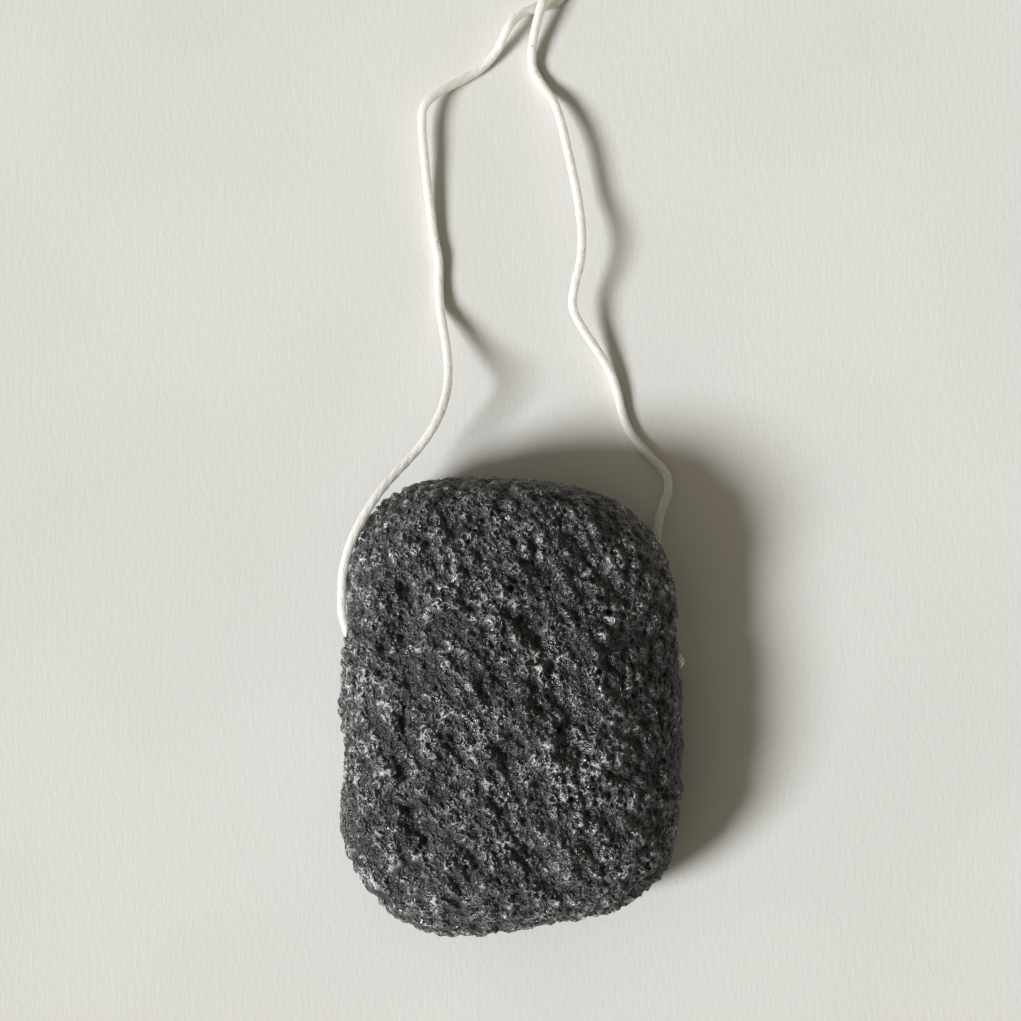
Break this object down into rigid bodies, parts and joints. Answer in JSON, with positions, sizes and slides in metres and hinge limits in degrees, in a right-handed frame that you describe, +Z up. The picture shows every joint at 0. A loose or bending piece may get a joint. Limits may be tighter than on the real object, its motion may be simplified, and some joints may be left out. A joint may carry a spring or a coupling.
{
  "type": "konjac sponge",
  "caption": "Rounded bath sponge of dark plant-gel foam, threaded from side to side with a twisted cotton string that is knotted into a hanging loop.",
  "frame": {"origin": "under the middle of the sponge's box, on the flat face that it lies on; the string's loop lies beyond the sponge's back end", "axes": "+Z up out of the flat face, +Y along the sponge's length towards the hanging loop, +X across the sponge along the string's tunnel"},
  "size_m": [0.0832, 0.2578, 0.0329],
  "materials": {
    "konjac_foam": "damp open-pored charcoal foam with small glossy glints",
    "cotton_string": "unbleached three-ply twisted cotton"
  },
  "bodies": {
    "root": {"sponge_body": "konjac_foam", "string_in_sponge": "cotton_string", "string_left_leg": "cotton_string", "string_right_leg": "cotton_string", "string_knot": "cotton_string", "string_left_tail": "cotton_string", "string_right_tail": "cotton_string"}
  },
  "joints": []
}
